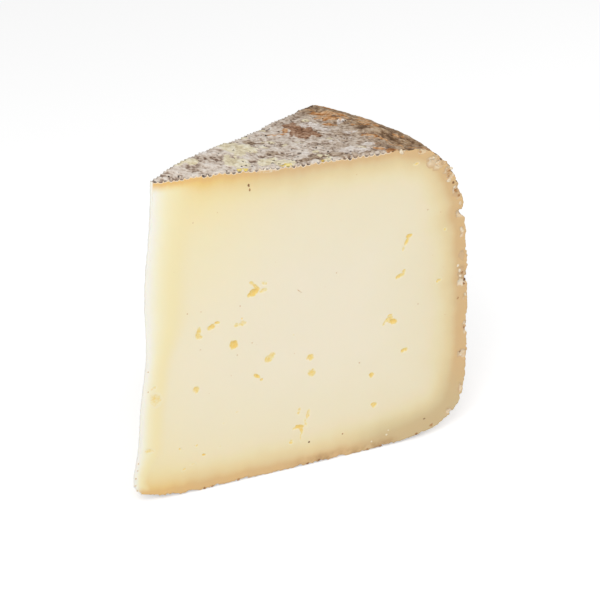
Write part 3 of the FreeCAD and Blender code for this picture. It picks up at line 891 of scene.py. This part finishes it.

# The rind's colours from its furrows to its ridges: the crust's own mottling, with painted shade in
# the furrows
CRUST = [
    (0.22, 124, 102, 86), (0.36, 186, 167, 151), (0.5, 214, 200, 186), (0.66, 228, 217, 205),
    (0.82, 238, 231, 223),
]
SIDE_CRUST = [
    (0.22, 74, 52, 32), (0.36, 116, 86, 56), (0.5, 148, 114, 79), (0.66, 180, 150, 112),
    (0.82, 208, 186, 154),
]
# The moulds' colours run over the same grain, so they too carry painted shade in the furrows
MOULD_COLOURS = {
    "dusk": [(0.25, 104, 80, 60), (0.50, 166, 141, 117), (0.72, 202, 183, 162)],
    "white": [(0.25, 182, 166, 154), (0.50, 220, 209, 200), (0.72, 240, 234, 228)],
    "cream": [(0.25, 214, 200, 166), (0.50, 233, 222, 190), (0.72, 242, 235, 212)],
    "brown": [(0.25, 96, 60, 36), (0.50, 150, 106, 74), (0.75, 186, 150, 122)],
    "orange": [(0.25, 150, 92, 44), (0.50, 200, 144, 90), (0.72, 224, 186, 146)],
    "yellow": [(0.25, 206, 168, 66), (0.50, 236, 210, 92), (0.72, 244, 226, 140)],
}
CRUMB_COLOURS = [
    (0.0, 70, 50, 36), (0.3, 178, 128, 80), (0.6, 218, 184, 136), (1.0, 240, 230, 208),
]
# Plain colours that cover part of the paste or of the rind
DRAB = (204, 191, 152)
TOAST = (184, 148, 104)
# a painted highlight round the rim of each eye
EYE_RIM_HIGHLIGHT = (244, 236, 213)
SMEAR = (247, 242, 230)
LIP = (240, 226, 206)
PASTE_SPECK = (214, 170, 112)
# dark mould in the rind's pits, with painted shade in those hollows
PIT_SHADE_AND_MOULD = (78, 58, 44)
RIND_SPECK = (62, 46, 36)


def paste_material():
    """Pale supple paste: tan and dry under the rind, ivory inside, deeper yellow in the eyes."""
    nodes = Nodes("tomme_paste")
    crust = nodes.attribute("crust")
    uneven = nodes.uneven(9.0)
    depth = nodes.plus(crust, nodes.times(uneven, nodes.times(crust, 0.6)))
    warm = nodes.plus(nodes.attribute("warm"), nodes.times(uneven, 0.3))
    colour = nodes.mix(warm, nodes.ramp(depth, COOL_PASTE), nodes.ramp(depth, WARM_PASTE))
    colour = nodes.paint(nodes.times(nodes.attribute("drab"), 0.5), colour, DRAB)
    toast = nodes.times(nodes.attribute("toast"), nodes.fade(nodes.noise(3.0), 0.3, 0.7))
    colour = nodes.paint(toast, colour, TOAST)

    # painted light: the paste pales towards the thin tip, a glow of light shining through it
    tip = nodes.plus(nodes.attribute("tip"), nodes.times(uneven, 0.03))
    tip_glow = nodes.times(nodes.fade(tip, 0.35, 0.17), nodes.fade(crust, 0.0, 0.085))
    colour = nodes.mix(tip_glow, colour, nodes.ramp(tip, TIP_PASTE))

    fine = nodes.uneven(0.8, 4.0, 0.6)
    eye = nodes.times(nodes.attribute("eye"), nodes.plus(nodes.times(fine, 1.7), 1.0))
    # painted highlight: a whitish ring round each eye's rim
    colour = nodes.paint(nodes.fade(eye, 0.05, 0.4, 0.5), colour, EYE_RIM_HIGHLIGHT)
    colour = nodes.mix(nodes.fade(eye, 0.2, 0.7, 0.9), colour, nodes.ramp(eye, EYE_PASTE))

    smear = nodes.times(nodes.attribute("smear"), nodes.fade(nodes.noise(1.0), 0.35, 0.6))
    colour = nodes.paint(smear, colour, SMEAR)
    chunk = nodes.attribute("chunk")
    colour = nodes.mix(nodes.fade(chunk, 0.02, 0.12), colour, nodes.ramp(chunk, CHUNK_PASTE))
    lip = nodes.plus(nodes.attribute("hem"), nodes.times(fine, 0.8))
    colour = nodes.paint(nodes.fade(lip, 0.4, 0.95, 0.8), colour, LIP)
    some = nodes.fade(uneven, 0.0, 0.1)
    specks = nodes.times(nodes.fade(nodes.cells(3.4), 0.07, 0.04, 0.5), some)
    colour = nodes.paint(specks, colour, PASTE_SPECK)

    nodes.shader.inputs["Subsurface Weight"].default_value = 0.15
    nodes.shader.inputs["Subsurface Radius"].default_value = (1.0, 0.7, 0.4)
    nodes.shader.inputs["Subsurface Scale"].default_value = 1.5 * MM
    grain = nodes.bump(nodes.noise(0.7, 5.0, 0.65), 0.05, 0.5)
    drags = nodes.noise(1.2, 3.0, 0.6, squeeze=(1, 1, 0.05))
    return nodes.surface(colour, nodes.bump(drags, 0.03, 0.35, Normal=grain), 0.5, 0.3)


def rind_material():
    """Natural rind: grey-lilac crust with cream, brown, orange and white moulds and dark pits;
    painted shade darkens its furrows and, with dark mould, its pits.
    """
    nodes = Nodes("tomme_rind")
    rough = nodes.noise(0.85, 5.0, 0.62)
    # the grain paints shade into the furrows of the crust and of every mould
    texture_and_shade = nodes.mix(0.5, nodes.attribute("grain"), rough)
    upper, side = nodes.ramp(texture_and_shade, CRUST), nodes.ramp(texture_and_shade, SIDE_CRUST)
    colour = nodes.mix(nodes.attribute("side"), upper, side)
    ragged = nodes.uneven(1.3, 5.0, 0.65)
    for kind, colours in MOULD_COLOURS.items():
        amount = nodes.plus(nodes.attribute(kind), nodes.times(ragged, 0.9))
        mould = nodes.ramp(texture_and_shade, colours)
        colour = nodes.mix(nodes.fade(amount, 0.32, 0.68, 0.88), colour, mould)
    # the pits are painted dark: dark mould together with painted shade in the hollows
    pits = nodes.plus(nodes.attribute("pit"), nodes.times(ragged, 0.6))
    colour = nodes.paint(nodes.fade(pits, 0.25, 0.65, 0.8), colour, PIT_SHADE_AND_MOULD)
    some = nodes.fade(nodes.noise(5.0, 3.0), 0.42, 0.54)
    specks = nodes.times(nodes.fade(nodes.cells(1.7), 0.23, 0.12), some)
    colour = nodes.paint(specks, colour, RIND_SPECK)
    lumps = nodes.bump(rough, 0.3, 0.8)
    fine = nodes.noise(0.4, 4.0, 0.7)
    return nodes.surface(colour, nodes.bump(fine, 0.10, 0.7, Normal=lumps), 0.85, 0.2)


def crumb_material():
    """Crumbs of rind and paste, from nearly black to cream."""
    nodes = Nodes("tomme_crumbs")
    tone = nodes.plus(nodes.attribute("tone"), nodes.uneven(0.5))
    rough = nodes.bump(nodes.noise(0.3, 4.0, 0.7), 0.08, 0.6)
    return nodes.surface(nodes.ramp(tone, CRUMB_COLOURS), rough, 0.8, 0.5)


# ---- the pieces


def make_wedge():
    """The whole wedge as one closed mesh."""
    shell = Shell()
    front_edge, back_edge, top_end, bottom_end = add_rind(shell)
    front_column, back_column = add_tip(shell, top_end, bottom_end)
    add_cut(shell, front_edge, front_column, FRONT_EYES, 0.0, True)
    add_cut(shell, back_edge, back_column, BACK_EYES, WEDGE_ANGLE, False)
    wedge = shell.build("tomme_wedge_dressed", [paste_material(), rind_material()])
    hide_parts(NODE)
    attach(wedge, "root")


# Crumbs that stick to the front cut: x, z, half width, half height, turn in degrees, tone. Each is
# this deep, as a share of its smaller side.
CRUMB_FLATNESS = 0.3
CRUMBS = [
    (39.1, 93.2, 0.3, 0.45, 10, 0.2), (39.4, 91.8, 0.25, 0.4, -10, 0.3),
    (54.7, 57.8, 0.95, 0.15, -40, 0.74), (57.8, 7.6, 0.35, 0.3, 0, 0.1),
    (74.3, 30.5, 0.25, 0.22, 0, 0.74), (66.5, 61.3, 0.2, 0.2, 0, 0.74),
    (93.7, 45.8, 0.25, 0.22, 0, 0.74), (96.1, 75.7, 0.25, 0.2, 0, 0.74),
    (19.8, 57.7, 0.2, 0.2, 0, 0.74), (23.5, 45.7, 0.2, 0.2, 0, 0.74),
    (34.9, 41.6, 0.2, 0.2, 0, 0.74), (24, 57.5, 0.2, 0.18, 0, 0.74),
    (39.6, 44.5, 0.2, 0.2, 0, 0.74), (36, 56.9, 0.2, 0.2, 0, 0.74), (22.2, 85, 0.2, 0.18, 0, 0.74),
    (68.9, 7.8, 0.25, 0.22, 0, 0.25), (96.9, 6.4, 0.3, 0.25, 0, 0.15),
    (83.9, 3.9, 0.35, 0.28, 20, 1), (78.8, 2.7, 0.3, 0.25, 0, 1), (84.5, 5.3, 0.25, 0.22, 0, 1),
    (87, 94.9, 0.6, 0.8, 15, 0.9), (93.2, 93.9, 0.5, 0.4, 0, 0.5),
    (97.2, 91.6, 0.95, 0.7, -30, 0.9), (99.7, 88.9, 1.2, 0.9, -40, 0.7),
    (100.1, 90.7, 0.4, 0.25, -40, 0.05), (101.4, 89.4, 0.6, 0.5, 0, 0.6),
    (103, 86.6, 0.55, 0.35, 30, 0.42), (103.7, 87.2, 0.5, 0.4, 0, 0.85),
    (102.7, 85.2, 0.5, 0.6, 0, 0.45), (102.8, 83.7, 0.6, 0.5, 20, 0.9),
    (104.3, 82.8, 0.35, 0.4, 0, 0.2), (104.9, 81.4, 0.45, 0.5, 0, 1),
    (105.6, 80, 0.5, 0.6, 0, 0.35), (106.5, 78, 0.45, 0.6, 0, 0.4), (106.9, 75.9, 0.4, 0.5, 0, 0.8),
    (106.9, 55.8, 0.4, 0.45, 0, 1), (107.6, 54, 0.4, 0.6, 0, 0.95), (108.1, 52, 0.45, 0.5, 0, 0.9),
    (108.7, 53, 0.35, 0.5, 0, 0.3), (109.4, 50.7, 0.35, 0.45, 0, 0.1),
    (109.3, 49.2, 0.35, 0.45, 0, 0.15), (107.3, 45, 0.3, 0.35, 0, 0.4),
    (109.8, 34.7, 0.35, 0.4, 0, 0.3), (108.7, 26.8, 0.35, 0.4, 0, 0.15),
    (109.1, 25.4, 0.4, 0.35, 0, 1), (26.3, 0.4, 0.4, 0.3, 0, 0.35), (23.8, 0.4, 0.35, 0.3, 0, 0.25),
    (34.7, 0.5, 0.45, 0.35, 0, 0.35), (38.1, 0.6, 0.4, 0.35, 0, 0.5),
    (57.3, 0.4, 0.45, 0.3, 0, 0.3), (61.2, 0.7, 0.45, 0.35, 0, 0.2),
    (64.3, 0.4, 0.45, 0.3, 0, 0.45), (77.4, 0.4, 0.45, 0.3, 0, 0.35),
    (81.9, 0.5, 0.5, 0.35, 0, 0.25), (94.3, 1.8, 0.45, 0.35, 0, 0.3),
    (99.4, 3.6, 0.5, 0.4, 20, 0.3), (2.4, 6.5, 0.3, 0.35, 0, 0.8), (2.6, 8.7, 0.25, 0.3, 0, 0.8),
    (3.2, 11.2, 0.25, 0.25, 0, 0.8), (3.6, 13.4, 0.22, 0.22, 0, 0.8), (2.9, 4.7, 0.3, 0.3, 0, 0.8),
    (7.5, 42.1, 0.2, 0.2, 0, 0.7), (7.3, 35.8, 0.2, 0.2, 0, 0.7),
]


def make_crumbs():
    """The crumbs: small uneven lumps, half sunk into the front cut."""
    drawing = bmesh.new()
    bmesh.ops.create_icosphere(drawing, subdivisions=3, radius=1.0)
    drawing.verts.index_update()
    ball = np.array([vertex.co for vertex in drawing.verts])
    faces = [[vertex.index for vertex in face.verts] for face in drawing.faces]
    drawing.free()
    shell = Shell()
    for x, z, half_width, half_height, turn, tone in CRUMBS:
        place = np.array([[x, 0.0, z]])
        chip, _ = chip_depth(place[:, 0], place[:, 2])
        place[0, 1] = chip[0] + cut_waves(place)[0]
        half_depth = CRUMB_FLATNESS * min(half_width, half_height)
        lump = ball * (1 + 0.45 * fractal(ball + place, 0.9, seed=80)[:, None])
        along, deep, up = (lump * np.array([half_width, half_depth, half_height])).T
        cosine, sine = math.cos(math.radians(turn)), math.sin(math.radians(turn))
        turned = np.stack([along * cosine - up * sine, deep, along * sine + up * cosine], axis=-1)
        points = turned + place
        points[:, 2] = np.maximum(points[:, 2], 0.0)
        numbers = shell.add(points, tone=np.full(len(points), tone))
        shell.fill(faces, numbers, 0)
    crumbs = shell.build("tomme_wedge_crumbs", [crumb_material()])
    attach(crumbs, "root")


# ---- floor, light and camera

CAMERA_AZIMUTH = math.radians(25.46)
CAMERA_ELEVATION = math.radians(25.14)
CAMERA_DISTANCE = 600
CAMERA_LENS = 121.7
# What the camera aims at, measured from the middle of the wedge's box
CAMERA_AIM = np.array([4.9, -15.7, -1.65])
# What the lamps aim at, measured from the middle of the board
LAMP_AIM = (0, 0, 40)
# How strongly the world lights the wedge, and how strongly the floor glows for the camera
ROOM_LIGHT = 0.42
FLOOR_GLOW = 0.45
# The floor's half side and how far it lies below the wedge, in metres
FLOOR_HALF = 3.0
FLOOR_GAP = 0.0002


def make_camera():
    """A long lens that looks down on the front cut from its left."""
    level = math.cos(CAMERA_ELEVATION)
    sideways, ahead = math.sin(CAMERA_AZIMUTH) * level, math.cos(CAMERA_AZIMUTH) * level
    forward = np.array([sideways, ahead, -math.sin(CAMERA_ELEVATION)])
    data = bpy.data.cameras.new("camera")
    data.lens = CAMERA_LENS
    camera = add_object("camera", data)
    camera.location = ((LOW + HIGH) / 2 + CAMERA_AIM - forward * CAMERA_DISTANCE) * MM
    camera.rotation_euler = Vector(forward).to_track_quat("-Z", "Y").to_euler()
    bpy.context.scene.camera = camera


def make_lamp(name, place, size, power):
    """A soft square lamp. Its place is in millimetres from the middle of the board."""
    data = bpy.data.lights.new(name, "AREA")
    data.size = size * MM
    data.energy = power
    lamp = add_object(name, data)
    lamp.location = Vector(place) * MM
    lamp.rotation_euler = (Vector(LAMP_AIM) - Vector(place)).to_track_quat("-Z", "Y").to_euler()


def make_floor():
    """A plain pale floor that shows white to the camera and keeps the wedge's shadow."""
    mesh = bpy.data.meshes.new("floor")
    level = LOW[2] * MM - FLOOR_GAP
    signs = [(-1, -1), (1, -1), (1, 1), (-1, 1)]
    corners = [(x * FLOOR_HALF, y * FLOOR_HALF, level) for x, y in signs]
    mesh.from_pydata(corners, [], [(0, 1, 2, 3)])
    floor = add_object("floor", mesh)
    nodes = Nodes("floor")
    nodes.shader.inputs["Base Color"].default_value = (0.8, 0.8, 0.8, 1)
    nodes.shader.inputs["Roughness"].default_value = 0.9
    nodes.shader.inputs["Specular IOR Level"].default_value = 0.0
    nodes.shader.inputs["Emission Color"].default_value = (1, 1, 1, 1)
    path = nodes.new("LightPath")
    seen = nodes.math("MAXIMUM", path.outputs["Is Camera Ray"], path.outputs["Is Glossy Ray"])
    nodes.put(nodes.times(seen, FLOOR_GLOW), nodes.shader.inputs["Emission Strength"])
    mesh.materials.append(nodes.material)


def make_world():
    """An even pale light from all round, which shows white to the camera."""
    world = bpy.data.worlds.new("studio")
    world.use_nodes = True
    tree = world.node_tree
    background = tree.nodes["Background"]
    path = tree.nodes.new("ShaderNodeLightPath")
    level = tree.nodes.new("ShaderNodeMapRange")
    tree.links.new(path.outputs["Is Camera Ray"], level.inputs["Value"])
    level.inputs["To Min"].default_value = ROOM_LIGHT
    level.inputs["To Max"].default_value = 1.0
    background.inputs["Color"].default_value = (1, 1, 1, 1)
    tree.links.new(level.outputs["Result"], background.inputs["Strength"])
    bpy.context.scene.world = world


def set_view():
    """Plain display colours."""
    bpy.context.scene.view_settings.view_transform = "Standard"


make_wedge()
make_crumbs()
make_camera()
make_floor()
make_world()
make_lamp("key", (-450, -650, 700), size=500, power=5.4)
make_lamp("fill", (600, -300, 500), size=600, power=1.6)
set_view()
